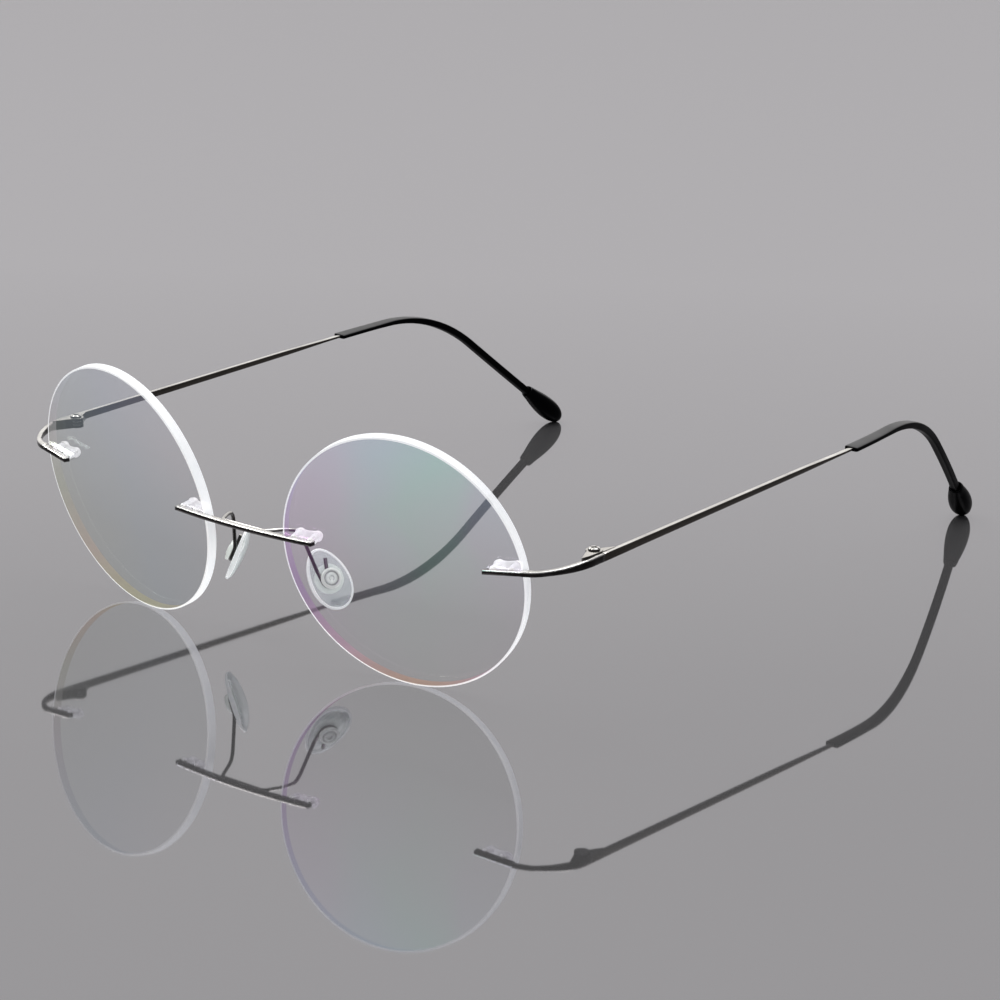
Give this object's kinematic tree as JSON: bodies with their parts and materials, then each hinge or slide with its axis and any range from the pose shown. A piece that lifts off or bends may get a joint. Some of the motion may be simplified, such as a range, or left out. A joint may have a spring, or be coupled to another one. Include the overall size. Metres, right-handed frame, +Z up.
{
  "type": "rimless round eyeglasses",
  "caption": "Rimless round eyeglasses with drilled lenses, a flat bridge bar, hooked wire pad arms with clear nose pads, and thin folding temples with black tips.",
  "frame": {"origin": "middle of the bridge bar's underside", "axes": "+Z up, front of the lenses faces -Y, temples run towards +Y, +X is the wearer's left; the YZ plane is the plane of symmetry"},
  "size_m": [0.1248, 0.1625, 0.0461],
  "materials": {
    "lens": "clear, anti-reflection coated, frosted edge",
    "frame_metal": "polished gunmetal titanium",
    "pin_metal": "bright",
    "screw_metal": "polished",
    "plug_plastic": "clear",
    "washer_plastic": "plain",
    "pad_core": "clear",
    "pad_silicone": "clear milky silicone",
    "tip_silicone": "satin black silicone"
  },
  "bodies": {
    "front": {"lens_left": "lens", "lens_right": "lens", "bridge_bar": "frame_metal", "mounting_pins": "pin_metal", "lens_plugs": "plug_plastic", "pad_wire": "frame_metal", "endpiece_left": "frame_metal", "endpiece_right": "frame_metal", "endpiece_hinge_left": "frame_metal", "endpiece_hinge_right": "frame_metal", "hinge_screws": "screw_metal", "hinge_washers": "washer_plastic"},
    "left_temple": {"temple_left": "frame_metal", "temple_hinge_left": "frame_metal", "tip_sleeve_left": "tip_silicone", "tip_bulb_left": "tip_silicone"},
    "right_temple": {"temple_right": "frame_metal", "temple_hinge_right": "frame_metal", "tip_sleeve_right": "tip_silicone", "tip_bulb_right": "tip_silicone"},
    "left_nose_pad": {"pad_core_left": "pad_core", "pad_cushion_left": "pad_silicone"},
    "right_nose_pad": {"pad_core_right": "pad_core", "pad_cushion_right": "pad_silicone"}
  },
  "joints": [
    {"name": "left_temple_hinge", "type": "hinge", "parent": "front", "child": "left_temple", "pos_m": [0.05919, 0.02056, 0.00334], "axis": [0, 0, 1], "range_deg": [0, 90]},
    {"name": "right_temple_hinge", "type": "hinge", "parent": "front", "child": "right_temple", "pos_m": [-0.05919, 0.02056, 0.00334], "axis": [0, 0, -1], "range_deg": [0, 86]},
    {"name": "left_pad_swivel", "type": "hinge", "parent": "front", "child": "left_nose_pad", "pos_m": [0.01107, 0.01088, -0.00912], "axis": [0.782, -0.4982, 0.3746], "range_deg": [-20, 20]},
    {"name": "right_pad_swivel", "type": "hinge", "parent": "front", "child": "right_nose_pad", "pos_m": [-0.01107, 0.01088, -0.00912], "axis": [-0.782, -0.4982, 0.3746], "range_deg": [-20, 20]}
  ]
}
